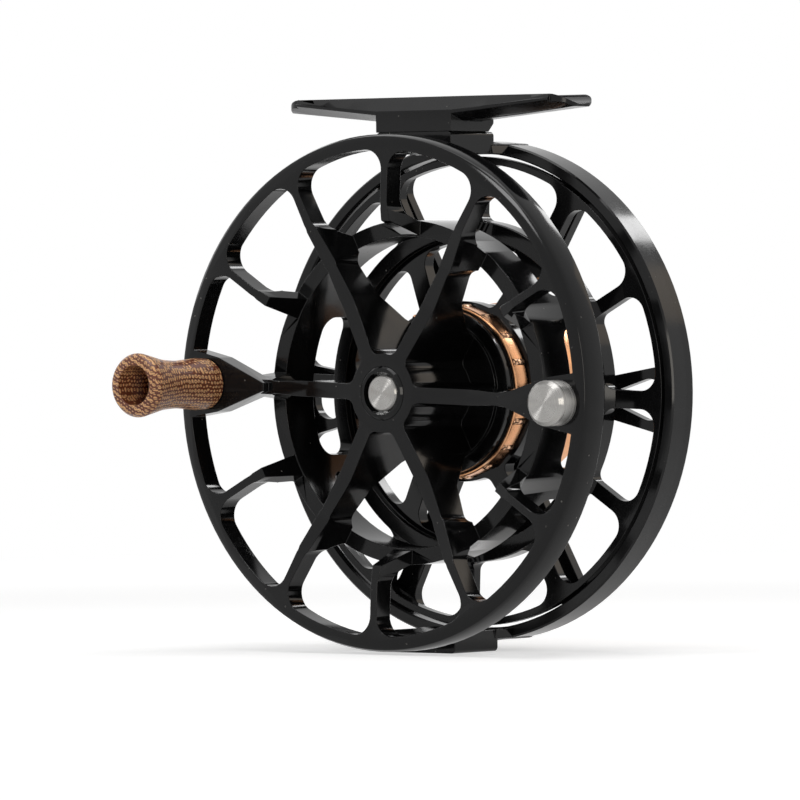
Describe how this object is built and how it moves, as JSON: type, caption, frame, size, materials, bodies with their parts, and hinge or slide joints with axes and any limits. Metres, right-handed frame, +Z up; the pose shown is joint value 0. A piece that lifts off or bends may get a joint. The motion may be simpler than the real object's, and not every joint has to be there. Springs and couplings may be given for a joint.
{
  "type": "fly fishing reel",
  "caption": "Ported large-arbor fly reel with spoked spool, canvas-laminate handle, counterweight, rear disc-drag knob and saddle foot for a rod reel seat.",
  "frame": {"origin": "middle of the hollow saddle on top of the reel foot, where the rod blank lies", "axes": "+X along the rod, +Y from the handle side to the drag knob along the spool axis, +Z up from the spool to the rod"},
  "size_m": [0.094, 0.0637, 0.1015],
  "materials": {
    "spool_black": "gloss black anodised",
    "frame_black": "gloss black anodised",
    "foot_black": "gloss black anodised",
    "turned_steel": "turned, satin with lathe marks",
    "bright_steel": "ground",
    "dark_steel": "oiled",
    "canvas_laminate": "woven canvas laminate, matt",
    "bronze_anodised": "satin bronze anodised",
    "bushing_plastic": "moulded",
    "seal_rubber": "moulded",
    "drag_carbon": "woven carbon fibre disc, matt",
    "hub_ring_black": "gloss black anodised"
  },
  "bodies": {
    "frame": {"reel_frame": "frame_black", "reel_foot": "foot_black", "foot_screws": "dark_steel", "spindle": "bright_steel", "spindle_nut": "bright_steel", "spool_screw": "turned_steel", "front_bearing_inner": "bright_steel", "drag_cover": "frame_black", "cover_screws": "dark_steel", "drag_seal": "seal_rubber", "front_drag_disc": "drag_carbon", "rear_drag_disc": "drag_carbon", "pawl_pin": "bright_steel", "pawl_spring": "bright_steel"},
    "turning_spool": {"spool": "spool_black", "hub_ring": "hub_ring_black", "front_bearing_outer": "bright_steel", "bearing_spacer": "bronze_anodised", "one_way_clutch": "bright_steel", "rear_bearing_outer": "bright_steel", "counterweight": "turned_steel", "counterweight_screw": "turned_steel", "handle_screw": "bright_steel", "click_gear": "turned_steel"},
    "turning_handle": {"handle_grip": "canvas_laminate", "handle_bushings": "bushing_plastic"},
    "turning_rotor": {"drag_rotor": "bright_steel", "drag_hub": "bright_steel", "rear_bearing_inner": "bright_steel"},
    "sliding_plate": {"pressure_plate": "bright_steel", "drag_pins": "bright_steel", "thrust_ring": "bright_steel", "spring_washers": "bright_steel"},
    "turning_knob": {"drag_knob": "bronze_anodised", "knob_insert": "turned_steel", "knob_cap": "bronze_anodised"},
    "rocking_pawl": {"click_pawl": "bright_steel"}
  },
  "joints": [
    {"name": "spool_spin", "type": "hinge", "parent": "frame", "child": "turning_spool", "pos_m": [0, 0, -0.0521], "axis": [0, 1, 0], "continuous": true},
    {"name": "handle_spin", "type": "hinge", "parent": "turning_spool", "child": "turning_handle", "pos_m": [-0.04097, -0.029, -0.05042], "axis": [0, 1, 0], "continuous": true},
    {"name": "drag_rotor_spin", "type": "hinge", "parent": "frame", "child": "turning_rotor", "pos_m": [0, 0.0123, -0.0521], "axis": [0, 1, 0], "continuous": true},
    {"name": "drag_knob_turn", "type": "hinge", "parent": "frame", "child": "turning_knob", "pos_m": [0, 0.0208, -0.0521], "axis": [0, 1, 0], "range_deg": [0, 330]},
    {"name": "pressure_plate_travel", "type": "slide", "parent": "frame", "child": "sliding_plate", "axis": [0, -1, 0], "range_m": [0, 0.0002]},
    {"name": "click_pawl_rock", "type": "hinge", "parent": "frame", "child": "rocking_pawl", "pos_m": [0, 0.0079, -0.0396], "axis": [0, 1, 0], "range_deg": [-3, 0]}
  ],
  "couplings": [
    {"joint": "pressure_plate_travel", "follows": "drag_knob_turn", "m_per_rad": 0.000034725}
  ]
}
